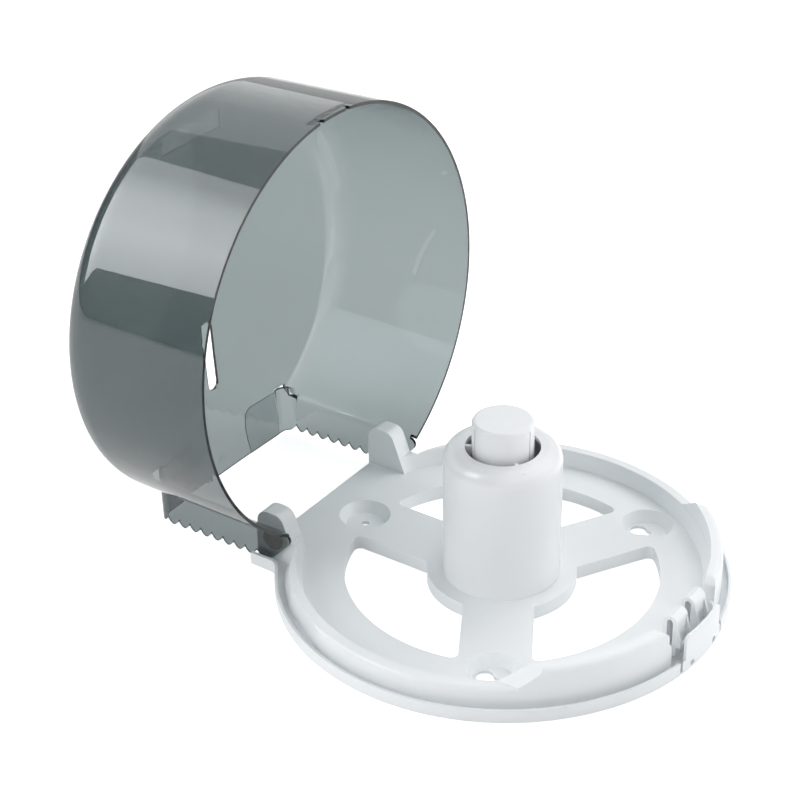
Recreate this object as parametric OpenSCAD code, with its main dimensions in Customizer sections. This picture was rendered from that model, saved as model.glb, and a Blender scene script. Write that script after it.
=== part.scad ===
// Jumbo toilet paper dispenser: a round wall plate, a clear hinged cover, a core adapter on a post.
// Millimetres. The origin is the middle of the plate's back face. +Z comes out of the wall,
// +Y runs toward the latch (up on the wall), -Y toward the hinge and the tear edge, X along the hinge.
// The cover is drawn open, resting on its stop, as a person leaves it when a roll is changed.

/* [Back plate] */
// Outside diameter of the plate
plate_d = 270; // [269:0.5:271]
// Height of the skirt round the plate
skirt_h = 8.2; // [7.5:0.1:9]
// Thickness of the skirt
skirt_t = 1.7; // [1.4:0.1:2]
// Width of the groove that takes the cover's mouth
groove_w = 4.1; // [3.9:0.05:4.3]
// Height of the groove's floor
groove_z = 3.6; // [3:0.1:4]
// Height of the rim inside the groove
rim_z = 18.8; // [17.5:0.1:20]
// Width of the rim's foot
rim_foot_w = 10.7; // [10:0.1:11.5]
// Width of the rim's top
rim_top_w = 7.2; // [6.5:0.1:7.8]
// Height of the plate's floor
floor_z = 8.8; // [8.2:0.1:9.4]
// Moulded wall thickness of the plate
skin = 2.6; // [2.2:0.1:2.9]
// Radius of the windows' outer edge
window_r = 93.6; // [91:0.2:95]
// Radius in the windows' outer corners
window_fillet = 4; // [3:0.25:5]
// Half width of the three arms
arm_half_w = 20.65; // [19.5:0.1:22]
// Radius of the hub
hub_r = 44.5; // [42:0.5:47]

/* [Wall fixings] */
// Radius of the circle that the three screw pockets lie on
pocket_circle_r = 100; // [99:0.25:101]
// Radius of a pocket at the floor
pocket_top_r = 15.8; // [14.5:0.1:16.5]
// Radius of a pocket at its bottom
pocket_floor_r = 11.7; // [11.5:0.1:12.5]
// Plastic left under a pocket
pocket_floor_z = 2.2; // [1.8:0.1:2.6]
// Diameter of the lower screw hole
screw_hole_d = 4.7; // [4.2:0.1:5.2]
// Diameter of a keyhole's round end
keyhole_d = 10; // [9:0.25:10.5]
// Width of a keyhole's slot
keyhole_slot_w = 5; // [4.4:0.1:5.4]
// Length from a keyhole's round end to its slot end
keyhole_run = 5.9; // [5.5:0.1:6.2]

/* [Hinge] */
// Distance of the hinge axis from the middle
hinge_y = 121.1; // [120.9:0.1:121.3]
// Height of the hinge axis over the wall
hinge_z = 19; // [18.8:0.1:19.2]
// X of an ear's inner face
ear_in_x = 50.9; // [50:0.1:51.5]
// X of an ear's outer face
ear_out_x = 62.8; // [62.4:0.1:63]
// Height of the ears
ear_top_z = 35.5; // [34.5:0.25:36.5]
// Diameter of the hinge pin
pin_d = 10; // [9.5:0.1:10.5]
// Play between a pin and its bore, on the diameter
pin_play = 0.1; // [0.06:0.02:0.16]
// Diameter of the pin's head
pin_head_d = 14; // [13.5:0.1:14.5]
// Depth of a pin's bore in its ear
pin_bore_depth = 10.5; // [9.5:0.1:11]
// How far the cover stands open, in degrees
open_angle = 91.35; // [85:0.05:91.5]

/* [Cover] */
// Diameter of the cover over its mouth
cover_mouth_d = 263.6; // [263.4:0.1:263.8]
// Diameter of the cover where its front begins
cover_front_d = 260.8; // [260.4:0.1:261.2]
// Depth of the cover at the middle of its front
cover_depth = 112; // [111:0.25:115]
// Wall thickness of the cover
cover_wall = 2; // [1.8:0.1:2.1]
// Height of the closed cover's mouth over the wall
mouth_z = 4.5; // [4.4:0.1:4.6]
// How much the front falls from its middle to its edge
dome_drop = 5; // [4:0.25:6]
// Depth of the rounded edge, measured along the axis
round_axial = 20; // [18:0.5:22]
// Width of the rounded edge, measured across the axis
round_radial = 12.2; // [11.8:0.1:12.6]
// Half width of the paper chute over its side panels
chute_half_w = 66.4; // [66.2:0.1:66.6]
// Radius between the chute's panels and its front
chute_corner_r = 11; // [9:0.5:12]
// Distance of the tooth tips from the middle
tooth_tip_y = 136.2; // [135.9:0.1:136.5]
// Depth of the teeth
tooth_depth = 4.6; // [4:0.1:5]
// Pitch of the teeth
tooth_pitch = 8.7; // [8.5:0.1:8.9]
// Teeth on each panel
tooth_count = 9; // [7:1:9]
// Half width of the level slot in the front
sight_half_w = 4.7; // [4:0.1:6]
// Far end of the level slot from the middle
sight_end_y = 77.3; // [74:0.5:80]
// Length of the level slot
sight_len = 47.3; // [40:0.5:60]

/* [Latch] */
// Half width of the latch opening in the rim
latch_half_w = 24; // [23:0.25:24.5]
// Height of the walls beside the latch
latch_wall_z = 30.4; // [29:0.2:31]
// Half width of the latch wall in the skirt
guard_half_w = 19.5; // [19:0.1:21]
// Height of the latch wall in the skirt
guard_z = 24; // [22:0.25:25]
// Width of one spring catch
catch_w = 12.6; // [12:0.1:13]
// Gap between the two spring catches
catch_gap = 8.4; // [8:0.2:10]
// Height of a catch's arch over the wall
catch_top_z = 31.5; // [30.5:0.25:32]
// Wall thickness of a catch
catch_t = 2.4; // [2.1:0.1:2.6]
// Diameter of the two key holes
key_hole_d = 4; // [3.4:0.1:4.4]

/* [Roll holder] */
// Diameter of the post
post_d = 36.1; // [35.6:0.1:36.5]
// Height of the post's top over the wall
post_top_z = 110.4; // [106:0.4:110.4]
// Wall thickness of the post
post_wall = 2.5; // [2.2:0.1:3]
// Radius of the post's foot flange
foot_r = 31; // [30.5:0.1:31.2]
// Diameter of the adapter at its foot
adapter_d = 70.1; // [69.9:0.1:71]
// Height of the adapter's top over the wall
adapter_top_z = 92.5; // [90:0.5:95]
// Wall thickness of the adapter
adapter_wall = 2.4; // [2.2:0.1:2.5]
// Radius of the adapter's rounded shoulder
adapter_round = 8.7; // [8:0.1:9]
// Radius of the hole in the adapter's top
adapter_hole_r = 21.9; // [21.5:0.1:23]
// Running gap between the adapter and what it turns on
turn_gap = 0.35; // [0.3:0.05:0.5]

/* [Hidden] */
$fn = 96;
eps = 0.01;

plate_r = plate_d / 2;
groove_out_r = plate_r - skirt_t;
rim_r = groove_out_r - groove_w;
rim_in_r = rim_r - rim_top_w;
foot_in_r = rim_r - rim_foot_w;
// The hinge side of the plate: chord between the ears, and the lips beyond them
chord_y = hinge_y + 11.5;
ear_back_y = hinge_y + 12.7;
ear_front_y = hinge_y - 15.2;
ear_back_r = 8;
ear_front_r = 7;
ear_slope = 20.8;
lip_x = ear_out_x + 8.2;
lip_t = 2;
lip_y = ear_back_y + 0.3;
lip_fillet = 8;
relief_end_x = 104;
// The arms are parted from the ring here, so that each of the two is simple
spider_r = window_r - 3.6;
arm_angles = [270, 30, 150];
// The cover
mouth_r = cover_mouth_d / 2;
front_r = cover_front_d / 2;
chute_in_w = chute_half_w - cover_wall;
chute_cut_y = 104;
tongue_y = hinge_y - 3.6;
dome_reach = tooth_tip_y + 15.8;
cut_reach = max(mouth_r, front_r) + 5;
first_tooth_h = 31.5;
// The latch
catch_pivot_y = rim_r - 8.1;
arch_out_r = 4.3;
arch_in_r = arch_out_r - catch_t;
catch_pivot_z = catch_top_z - arch_out_r;
catch_leg_out = catch_pivot_y + arch_out_r;
cavity_in_y = catch_pivot_y - 0.6;
hollow_split_r = cavity_in_y - skin;
catch_ledge_y = rim_r - 1;
// The roll holder
post_r = post_d / 2;
adapter_r = adapter_d / 2;
foot_t = 3;
screw_r = 25;

// Rounds and rings used by more than one piece

module along_x(x0, x1) {
    translate([x0, 0, 0])
        rotate([90, 0, 90])
            linear_extrude(x1 - x0)
                children();
}

module along_y(y0, y1) {
    translate([0, y1, 0])
        rotate([90, 0, 0])
            linear_extrude(y1 - y0)
                children();
}

module both_sides() {
    children();
    mirror([1, 0, 0])
        children();
}

// The plate's outline seen from the front: the disc, the two lips and the curve between them
module plate_outline(r, half_x, end_y, fillet) {
    side_x = half_x + fillet;
    centre_y = -sqrt(pow(r + fillet, 2) - pow(side_x, 2));
    share = r / (r + fillet);
    circle(r, $fn = 240);
    translate([-half_x, -end_y])
        square([2 * half_x, end_y - 100]);
    both_sides()
        difference() {
            polygon([[half_x - 1, centre_y], [side_x, centre_y], [side_x * share, centre_y * share],
                [half_x - 1, centre_y * share * 0.98]]);
            translate([side_x, centre_y])
                circle(fillet);
        }
}

module outer_outline() {
    plate_outline(plate_r, lip_x, lip_y, lip_fillet);
}

module groove_outline() {
    plate_outline(groove_out_r, lip_x - lip_t, lip_y + 5, lip_fillet + lip_t);
}

// Section of the rim with its rounded outer edge, from the groove's floor up
module rim_section(top_z, round_r) {
    difference() {
        polygon([[foot_in_r, floor_z - 1], [foot_in_r, floor_z], [foot_in_r + 0.5, floor_z + 0.9],
            [rim_in_r - 0.9, rim_z - 1], [rim_in_r, rim_z], [rim_in_r, top_z],
            [rim_r, top_z], [rim_r, floor_z - 1]]);
        translate([rim_r - round_r, top_z - round_r])
            difference() {
                square([round_r + 1, round_r + 1]);
                circle(round_r);
            }
    }
}

// An arm seen from the front, with the rounds where it meets the ring
module arm_outline() {
    cy = arm_half_w + window_fillet;
    cx = sqrt(pow(window_r - window_fillet, 2) - pow(cy, 2));
    grow = (window_r + 1) / (window_r - window_fillet);
    translate([0, -arm_half_w])
        square([window_r + 3, 2 * arm_half_w]);
    for (side = [-1, 1])
        difference() {
            polygon([[cx, side * (arm_half_w - 1)], [window_r, side * (arm_half_w - 1)],
                [cx * grow, side * cy * grow], [cx, side * cy]]);
            translate([cx, side * cy])
                circle(window_fillet);
        }
}

// The floor seen from the front: a disc with three windows between the arms
module floor_outline() {
    difference() {
        circle(rim_r, $fn = 240);
        difference() {
            circle(window_r, $fn = 240);
            circle(hub_r);
            for (a = arm_angles)
                rotate(a)
                    arm_outline();
        }
    }
}

// Skirt, groove, rim, floor, arms and hub, hollow underneath
module plate_body() {
    difference() {
        union() {
            linear_extrude(groove_z)
                difference() {
                    outer_outline();
                    circle(rim_r - skin / 2, $fn = 240);
                }
            difference() {
                linear_extrude(skirt_h)
                    outer_outline();
                translate([0, 0, -1])
                    linear_extrude(skirt_h + 2)
                        groove_outline();
            }
            linear_extrude(floor_z)
                floor_outline();
            rotate_extrude($fn = 240)
                rim_section(rim_z, 2.5);
        }
        rotate_extrude($fn = 240)
            polygon([[window_r + skin, -1], [hollow_split_r, -1], [hollow_split_r, floor_z - skin],
                [window_r + skin, floor_z - skin]]);
        // The rim is hollow too, but solid near the ears and under the catches
        difference() {
            rotate_extrude($fn = 240)
                polygon([[hollow_split_r - eps, -1], [rim_r - skin, -1], [rim_r - skin, rim_z - skin],
                    [rim_in_r + skin, rim_z - skin], [foot_in_r + skin, floor_z - skin],
                    [hollow_split_r - eps, floor_z - skin]]);
            translate([-relief_end_x, -plate_r, -2])
                cube([2 * relief_end_x, plate_r - 70, rim_z]);
            translate([-latch_half_w - skin, 100, -2])
                cube([2 * (latch_half_w + skin), 40, rim_z]);
        }
        // The arms and the hub
        for (a = arm_angles)
            rotate([0, 0, a])
                translate([hub_r + skin, -arm_half_w + skin, -1])
                    cube([window_r - hub_r - skin - 1, 2 * (arm_half_w - skin), floor_z - skin + 1]);
        difference() {
            translate([0, 0, -1])
                cylinder(h = floor_z - skin + 1, r = hub_r - skin);
            translate([0, 0, -2])
                cylinder(h = floor_z, r = foot_r + 1);
        }
    }
    // Ribs under the rim and the floor
    for (i = [0:11])
        rotate([0, 0, 15 + 30 * i])
            translate([window_r + 1, -1, 0])
                cube([rim_r - skin - window_r - 0.5, 2, floor_z - skin + eps]);
}

module pocket_boss() {
    cylinder(h = floor_z - skin + eps, r1 = pocket_floor_r + skin, r2 = pocket_top_r + skin - 1.5);
}

module pocket_cut() {
    translate([0, 0, pocket_floor_z])
        cylinder(h = floor_z - pocket_floor_z + eps, r1 = pocket_floor_r, r2 = pocket_top_r);
}

module keyhole_cut() {
    translate([0, -keyhole_run, -1])
        cylinder(h = pocket_floor_z + 2, d = keyhole_d);
    translate([0, 0, -1])
        cylinder(h = pocket_floor_z + 2, d = keyhole_slot_w);
    translate([-keyhole_slot_w / 2, -keyhole_run, -1])
        cube([keyhole_slot_w, keyhole_run, pocket_floor_z + 2]);
}

// One ear of the hinge, seen along X: a block with two rounded top corners
module ear_outline() {
    tip_y = -hinge_y + ear_front_r * cos(ear_slope) + 0.24;
    tip_z = ear_top_z - ear_front_r + ear_front_r * sin(ear_slope);
    polygon([[-ear_back_y, 0], [-ear_back_y, ear_top_z - ear_back_r],
        [-ear_back_y + ear_back_r, ear_top_z], [-hinge_y + 0.24, ear_top_z], [tip_y, tip_z],
        [-ear_front_y, floor_z], [-ear_front_y, 0]]);
    translate([-ear_back_y + ear_back_r, ear_top_z - ear_back_r])
        circle(ear_back_r);
    translate([-hinge_y + 0.24, ear_top_z - ear_front_r])
        circle(ear_front_r);
}

// Room for the cover's mouth, which swings through the rim beside the ears as the cover closes
function sweep_r(x) = sqrt(pow(hinge_y - sqrt(pow(mouth_r - cover_wall, 2) - x * x), 2)
    + pow(hinge_z - mouth_z, 2)) + 0.6;

module closing_relief() {
    reach = mouth_r - cover_wall - 9;
    intersection() {
        translate([0, 0, groove_z + 0.2])
            cylinder(h = rim_z, r = rim_r + groove_w / 2, $fn = 240);
        translate([0, -hinge_y, hinge_z])
            rotate([0, 90, 0])
                rotate_extrude($fn = 180)
                    polygon([[0, ear_out_x], for (x = [ear_out_x, 72, 84, 100, reach]) [sweep_r(x), x],
                        [0, reach + 4]]);
    }
}

// The rim is full height and blunt beside the latch, and ramps down away from it
module latch_wall() {
    round_r = 7;
    top_x0 = guard_half_w + 14;
    intersection() {
        rotate_extrude($fn = 240)
            rim_section(latch_wall_z, 4);
        along_y(0, plate_r)
            union() {
                polygon([[latch_half_w, 0], [latch_half_w + 0.5, 9], [latch_half_w + 2.5, 22],
                    [top_x0 - 5, latch_wall_z - 2], [top_x0, latch_wall_z], [94, latch_wall_z],
                    [104, rim_z], [104, 0]]);
                translate([top_x0, latch_wall_z - round_r])
                    circle(round_r);
            }
    }
}

// The skirt is raised in front of the catches and has two holes for the key's prongs
module latch_guard() {
    corner_r = 3;
    intersection() {
        difference() {
            cylinder(h = guard_z, r = plate_r, $fn = 240);
            translate([0, 0, -1])
                cylinder(h = guard_z + 2, r = groove_out_r, $fn = 240);
        }
        along_y(100, plate_r + 1)
            union() {
                translate([-guard_half_w, 0])
                    square([2 * guard_half_w, guard_z - corner_r]);
                translate([-guard_half_w + corner_r, 0])
                    square([2 * (guard_half_w - corner_r), guard_z]);
                both_sides()
                    translate([guard_half_w - corner_r, guard_z - corner_r])
                        circle(corner_r);
            }
    }
}

// One spring catch, cut at its arch: the fixed leg belongs to the plate, the free leg flexes
module catch_fixed(x0) {
    along_x(x0, x0 + catch_w) {
        translate([catch_pivot_y - arch_out_r, floor_z - 2])
            square([catch_t, catch_pivot_z - floor_z + 2]);
        arch_half(-1);
    }
}

module arch_half(side) {
    translate([catch_pivot_y, catch_pivot_z])
        intersection() {
            difference() {
                circle(arch_out_r);
                circle(arch_in_r);
            }
            translate([side < 0 ? -arch_out_r - 1 : 0.15, 0])
                square([arch_out_r + 1, arch_out_r + 1]);
        }
}

module catch_free(x0) {
    leg_end_z = 5.5;
    ledge_z = 12;
    along_x(x0, x0 + catch_w) {
        translate([catch_leg_out - catch_t, leg_end_z])
            square([catch_t, catch_pivot_z - leg_end_z]);
        arch_half(1);
        translate([catch_leg_out - eps, ledge_z])
            square([catch_ledge_y - catch_leg_out, 1.7]);
    }
    for (x = [x0, x0 + catch_w - 1.6])
        along_x(x, x + 1.6)
            polygon([[catch_leg_out - 0.5, catch_pivot_z + 1], [catch_ledge_y, ledge_z + 5.6],
                [catch_ledge_y, ledge_z], [catch_leg_out - 0.5, ledge_z]]);
}

module whole_plate() {
    difference() {
        union() {
            difference() {
                plate_body();
                // Nothing stands up between the ears or in front of the catches
                translate([-ear_in_x, -plate_r - 5, floor_z])
                    cube([2 * ear_in_x, 40, rim_z]);
                translate([-latch_half_w, cavity_in_y, 1.5])
                    cube([2 * latch_half_w, groove_out_r - cavity_in_y - 0.1, rim_z]);
                translate([-latch_half_w, foot_in_r * 0.97, floor_z])
                    cube([2 * latch_half_w, rim_r - foot_in_r * 0.97 + 1, rim_z]);
                translate([-ear_in_x, -plate_r - 5, -1])
                    cube([2 * ear_in_x, plate_r + 5 - chord_y, rim_z]);
                // The channels beside the ears are open toward the hinge side
                both_sides()
                    translate([ear_in_x, -lip_y - 1, groove_z])
                        cube([lip_x - lip_t - ear_in_x, lip_y + 1 - sqrt(rim_r * rim_r
                            - pow(lip_x - lip_t, 2)), skirt_h]);
                both_sides()
                    closing_relief();
            }
            // Floor between the ears, turned down at its straight edge
            translate([-ear_in_x - 1, -chord_y, floor_z - skin])
                cube([2 * ear_in_x + 2, chord_y - foot_in_r + 14, skin]);
            translate([-ear_in_x - 1, -chord_y, 0])
                cube([2 * ear_in_x + 2, skin, floor_z - skin + eps]);
            both_sides()
                along_x(ear_in_x, ear_out_x)
                    ear_outline();
            both_sides()
                latch_wall();
            latch_guard();
            catch_fixed(catch_gap / 2);
            catch_fixed(-catch_gap / 2 - catch_w);
            for (a = arm_angles)
                rotate([0, 0, a])
                    translate([pocket_circle_r, 0, 0])
                        pocket_boss();
        }
        for (a = arm_angles)
            rotate([0, 0, a])
                translate([pocket_circle_r, 0, 0])
                    pocket_cut();
        translate([0, -pocket_circle_r, -1])
            cylinder(h = pocket_floor_z + 2, d = screw_hole_d);
        for (a = [30, 150])
            translate([pocket_circle_r * cos(a), pocket_circle_r * sin(a), 0])
                keyhole_cut();
        // Hinge bores, blind from outside
        both_sides()
            translate([ear_out_x - pin_bore_depth, -hinge_y, hinge_z])
                rotate([0, 90, 0])
                    cylinder(h = pin_bore_depth + 1, d = pin_d + pin_play);
        // Key holes
        for (x = [-12.7, 12.7])
            translate([x, plate_r + 1, 3.1])
                rotate([90, 0, 0])
                    cylinder(h = skirt_t + 3, d = key_hole_d);
        // Pilot holes for the post's screws
        for (i = [0:2])
            rotate([0, 0, 90 + 120 * i])
                translate([screw_r, 0, 2])
                    cylinder(h = floor_z, d = 3.1);
    }
}

module spider_cut() {
    translate([0, 0, -1])
        cylinder(h = latch_wall_z + 10, r = spider_r, $fn = 240);
}

// The ring: everything outside the arms
module back_plate() {
    color("whitesmoke")
        difference() {
            whole_plate();
            spider_cut();
        }
}

// The hub and the three arms, one moulding with the ring
module plate_spider() {
    color("whitesmoke")
        intersection() {
            whole_plate();
            spider_cut();
        }
}

module spindle_post() {
    edge_r = 2.5;
    color("white")
        difference() {
            rotate_extrude($fn = 120)
                difference() {
                    union() {
                        translate([0, floor_z])
                            square([foot_r, foot_t]);
                        translate([0, floor_z])
                            square([post_r, post_top_z - floor_z - edge_r]);
                        translate([0, floor_z])
                            square([post_r - edge_r, post_top_z - floor_z]);
                        translate([post_r - edge_r, post_top_z - edge_r])
                            circle(edge_r);
                    }
                    square([post_r - post_wall, post_top_z - post_wall]);
                }
            // Three narrow grooves down the post
            for (a = [90, 210, 330])
                rotate([0, 0, a])
                    translate([post_r - 0.8, -0.5, floor_z + foot_t + 1])
                        cube([2, 1, post_top_z - floor_z - foot_t - 14]);
            for (i = [0:2])
                rotate([0, 0, 90 + 120 * i])
                    translate([screw_r, 0, floor_z - 1])
                        cylinder(h = foot_t + 2, d = 4.2);
        }
}

// Pan head screws that hold the post's foot to the hub
module post_screws() {
    color("silver")
        for (i = [0:2])
            rotate([0, 0, 90 + 120 * i])
                translate([screw_r, 0, 0])
                    difference() {
                        union() {
                            translate([0, 0, 3])
                                cylinder(h = floor_z + foot_t - 3 + eps, d = 3);
                            translate([0, 0, floor_z + foot_t])
                                cylinder(h = 2.2, d1 = 7, d2 = 5.6);
                        }
                        for (t = [0, 90])
                            rotate([0, 0, t])
                                translate([-2, -0.45, floor_z + foot_t + 0.9])
                                    cube([4, 0.9, 3]);
                    }
}

// Slides over the post so that a roll with a wide core turns true
module core_adapter() {
    top_r = adapter_r - 0.35;
    in_round = adapter_round - adapter_wall;
    color("white") {
        rotate_extrude($fn = 120)
            difference() {
                union() {
                    polygon([[0, floor_z], [adapter_r, floor_z], [top_r, adapter_top_z - adapter_round],
                        [0, adapter_top_z - adapter_round]]);
                    square([top_r - adapter_round, adapter_top_z]);
                    translate([top_r - adapter_round, adapter_top_z - adapter_round])
                        circle(adapter_round);
                }
                polygon([[0, floor_z - 1], [adapter_r - adapter_wall, floor_z - 1],
                    [top_r - adapter_wall, adapter_top_z - adapter_round],
                    [0, adapter_top_z - adapter_round]]);
                square([top_r - adapter_round, adapter_top_z - adapter_wall]);
                translate([top_r - adapter_round, adapter_top_z - adapter_round])
                    circle(in_round);
                square([adapter_hole_r, adapter_top_z + 1]);
                translate([-1, -1])
                    square([plate_r, floor_z + 1]);
            }
        // Guide ribs at the hole and at the foot
        for (a = [56, 176, 296])
            rotate([0, 0, a]) {
                translate([post_r + turn_gap, -1, adapter_top_z - 9])
                    cube([top_r - adapter_wall - post_r - turn_gap - 1.5, 2, 9 - 1]);
                translate([foot_r + turn_gap, -1, floor_z + 0.2])
                    cube([adapter_r - foot_r - turn_gap - 1, 2, 24]);
            }
    }
}

// The cover is drawn closed, with its mouth at height 0, and then lifted and swung open

function dome_h(r) = cover_depth - dome_drop * pow(r / front_r, 2);

// The rounded edge is larger on the latch side than on the hinge side
function edge_axial(a) = round_axial * (1 + 0.41 * sin(a));
function edge_radial(a) = round_radial * (1 + 0.95 * sin(a));

// One meridian of the drum as [radius, height] points, inset by t
function meridian(a, t) =
    let (rr = max(edge_radial(a) - t, 0.4), ra = max(edge_axial(a) - t, 2),
        cr = front_r - t - rr, ch = dome_h(cr) - t - ra)
    concat([[mouth_r - t, t > 0 ? -1 : 0]],
        [for (b = [0:15:75]) [cr + rr * cos(b), ch + ra * sin(b)]],
        [for (s = [1:-0.25:0.25]) [cr * s, dome_h(cr * s) - t]]);

// The drum as triangles, because its edge changes round the mouth
module drum(t) {
    turns = 60;
    rings = len(meridian(0, t));
    points = concat([for (i = [0:turns - 1]) for (p = meridian(360 * i / turns, t))
            [p[0] * cos(360 * i / turns), p[0] * sin(360 * i / turns), p[1]]],
        [[0, 0, dome_h(0) - t], [0, 0, t > 0 ? -1 : 0]]);
    top = turns * rings;
    faces = concat(
        [for (i = [0:turns - 1]) for (j = [0:rings - 2])
            [i * rings + j, i * rings + j + 1, ((i + 1) % turns) * rings + j + 1]],
        [for (i = [0:turns - 1]) for (j = [0:rings - 2])
            [i * rings + j, ((i + 1) % turns) * rings + j + 1, ((i + 1) % turns) * rings + j]],
        [for (i = [0:turns - 1]) [i * rings + rings - 1, top, ((i + 1) % turns) * rings + rings - 1]],
        [for (i = [0:turns - 1]) [i * rings, ((i + 1) % turns) * rings, top + 1]]);
    polyhedron(points, faces);
}

// The chute's front carries on the dome past the drum
module dome_block(t) {
    rotate_extrude($fn = 120)
        polygon(concat([[0, t > 0 ? -1 : 0]],
            [for (i = [0:8]) [dome_reach * i / 8, dome_h(dome_reach * i / 8) - t]],
            [[dome_reach, t > 0 ? -1 : 0]]));
}

// Side view of the chute, with the tongue that goes to the hinge and the row of teeth
module chute_side() {
    top_h = cover_depth + 1;
    valley_y = tooth_tip_y - tooth_depth;
    steps = 6;
    difference() {
        polygon(concat([[-chute_cut_y, 0.5], [-tongue_y, 0.5], [-hinge_y - 1, 3], [-hinge_y - 3.6, 5.6],
            [-hinge_y - 12.6, 14.7], [-hinge_y - 13.2, 22.4], [-valley_y, first_tooth_h - tooth_pitch / 2]],
            [for (k = [1:tooth_count * steps])
                [-valley_y - tooth_depth * (1 - cos(360 * k / steps)) / 2,
                    first_tooth_h + (k / steps - 0.5) * tooth_pitch]],
            [[-valley_y, first_tooth_h + (tooth_count - 0.4) * tooth_pitch],
                [-valley_y - 3.9, first_tooth_h + (tooth_count - 0.4) * tooth_pitch + 3],
                [-valley_y - 3.9, top_h], [-chute_cut_y, top_h]]));
    }
}

// Section of the chute across X, rounded where the panels meet the front
module chute_section(half_w, corner_r, t) {
    edge_h = dome_h(sqrt(pow(chute_half_w, 2) + pow(chute_cut_y + 14, 2))) - t;
    translate([-half_w, -2])
        square([2 * half_w, edge_h - corner_r + 2]);
    translate([-half_w + corner_r, -2])
        square([2 * (half_w - corner_r), cover_depth + 4]);
    both_sides()
        translate([half_w - corner_r, edge_h - corner_r])
            circle(corner_r);
}

module chute_outer() {
    intersection() {
        along_y(-tooth_tip_y - 1, -chute_cut_y)
            chute_section(chute_half_w, chute_corner_r, 0);
        along_x(-chute_half_w - 1, chute_half_w + 1)
            chute_side();
        dome_block(0);
    }
}

module chute_inner() {
    intersection() {
        along_y(-tooth_tip_y - 5, -chute_cut_y + 3)
            chute_section(chute_in_w, chute_corner_r - cover_wall, cover_wall);
        dome_block(cover_wall);
    }
}

module cover_shell() {
    difference() {
        union() {
            difference() {
                drum(0);
                translate([-chute_half_w, -cut_reach, -2])
                    cube([2 * chute_half_w, cut_reach - chute_cut_y, cover_depth + 5]);
            }
            chute_outer();
        }
        difference() {
            drum(cover_wall);
            translate([-chute_in_w, -cut_reach, -2])
                cube([2 * chute_in_w, cut_reach - chute_cut_y, cover_depth + 5]);
        }
        chute_inner();
        // Level slot in the front
        slot_r = sight_half_w;
        for (y = [sight_end_y - slot_r, sight_end_y - sight_len + slot_r])
            translate([0, -y, cover_depth / 2])
                cylinder(h = cover_depth, r = slot_r);
        translate([-slot_r, -sight_end_y + slot_r, cover_depth / 2])
            cube([2 * slot_r, sight_len - 2 * slot_r, cover_depth]);
        // Two notches in the mouth over the catches
        for (x = [-12, 12])
            translate([x - 1.3, mouth_r - 6, -1])
                cube([2.6, 8, 2.8]);
    }
}

module swing_open() {
    translate([0, -hinge_y, hinge_z])
        rotate([open_angle, 0, 0])
            translate([0, hinge_y, mouth_z - hinge_z])
                children();
}

module cover() {
    color("slategray")
        swing_open()
            cover_shell();
}

// Each pin is fixed in the cover's tongue and turns in its ear
module hinge_pins() {
    color("dimgray")
        both_sides()
            translate([0, -hinge_y, hinge_z])
                rotate([0, 90, 0]) {
                    translate([0, 0, ear_out_x - pin_bore_depth + 0.3])
                        cylinder(h = pin_bore_depth - 0.3 + 0.3 + eps, d = pin_d);
                    translate([0, 0, ear_out_x + 0.3])
                        cylinder(h = chute_in_w - ear_out_x - 0.3, d = pin_head_d);
                }
}

module latch_catch_left() {
    color("whitesmoke")
        catch_free(-catch_gap / 2 - catch_w);
}

module latch_catch_right() {
    color("whitesmoke")
        catch_free(catch_gap / 2);
}

back_plate();
plate_spider();
spindle_post();
post_screws();
core_adapter();
cover();
hinge_pins();
latch_catch_left();
latch_catch_right();
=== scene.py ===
"""The looks of a jumbo toilet paper dispenser with its cover standing open.

Sizes are written in millimetres, in the part's own frame: the origin is the middle of the plate's back,
+Z comes out of the wall, +Y runs toward the latch and X runs along the hinge.
"""
import math

import bmesh
import bpy
from mathutils import Matrix, Vector


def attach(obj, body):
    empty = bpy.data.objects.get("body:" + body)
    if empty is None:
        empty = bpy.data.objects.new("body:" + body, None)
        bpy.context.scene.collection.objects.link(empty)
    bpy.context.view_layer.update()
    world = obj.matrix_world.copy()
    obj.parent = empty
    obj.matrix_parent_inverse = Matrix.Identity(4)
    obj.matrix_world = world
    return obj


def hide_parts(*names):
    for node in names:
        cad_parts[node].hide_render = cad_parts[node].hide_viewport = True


MM = 0.001
SIDES = (-1, 1)

# The camera, as the photograph was taken
CAMERA_PLACE = (863.5, 544.3, 725.4)
CAMERA_AZIMUTH = 125.51
CAMERA_ELEVATION = 30.53
CAMERA_ROLL = -1.1
CAMERA_LENS = 94.15
CAMERA_SENSOR = 36
CAMERA_NEAR_LIMIT = 10

# How bright the surroundings are as a light, and in reflections. The backdrop is a fixed side of the room
WORLD_LIGHT = 0.16
HORIZON_IN_REFLECTIONS = 0.08
CEILING_IN_REFLECTIONS = 0.9
BACKDROP_IN_REFLECTIONS = 0.8
BACKDROP_TOWARD = (-0.81, -0.58, 0.1)
BACKDROP_EDGE = 0.7

# The floor, and how much it glows to the eye, in reflections and through the cover
FLOOR_REACH = 1900
FLOOR_Z = -0.3
FLOOR_COLOUR = (0.86, 0.86, 0.86)
FLOOR_ROUGHNESS = 0.9
FLOOR_SEEN = 0.7
FLOOR_IN_REFLECTIONS = 0.3
FLOOR_THROUGH_COVER = 0.45

# Where the lamps are turned to, and the large lamp: its side, the direction of its width, its size in
# metres, and the levels of the strips across its width
OBJECT_MIDDLE = (0, -60, 100)
KEY_TOWARD = (0.42, -0.64, 0.62)
KEY_ALONG = (0.69, 0, -0.49)
KEY_SIZE = (1.5, 2.0)
KEY_STRIPS = ((0, 0.35), (0.12, 0.38), (0.35, 0.8), (0.65, 1.0), (1, 0.75))

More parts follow.
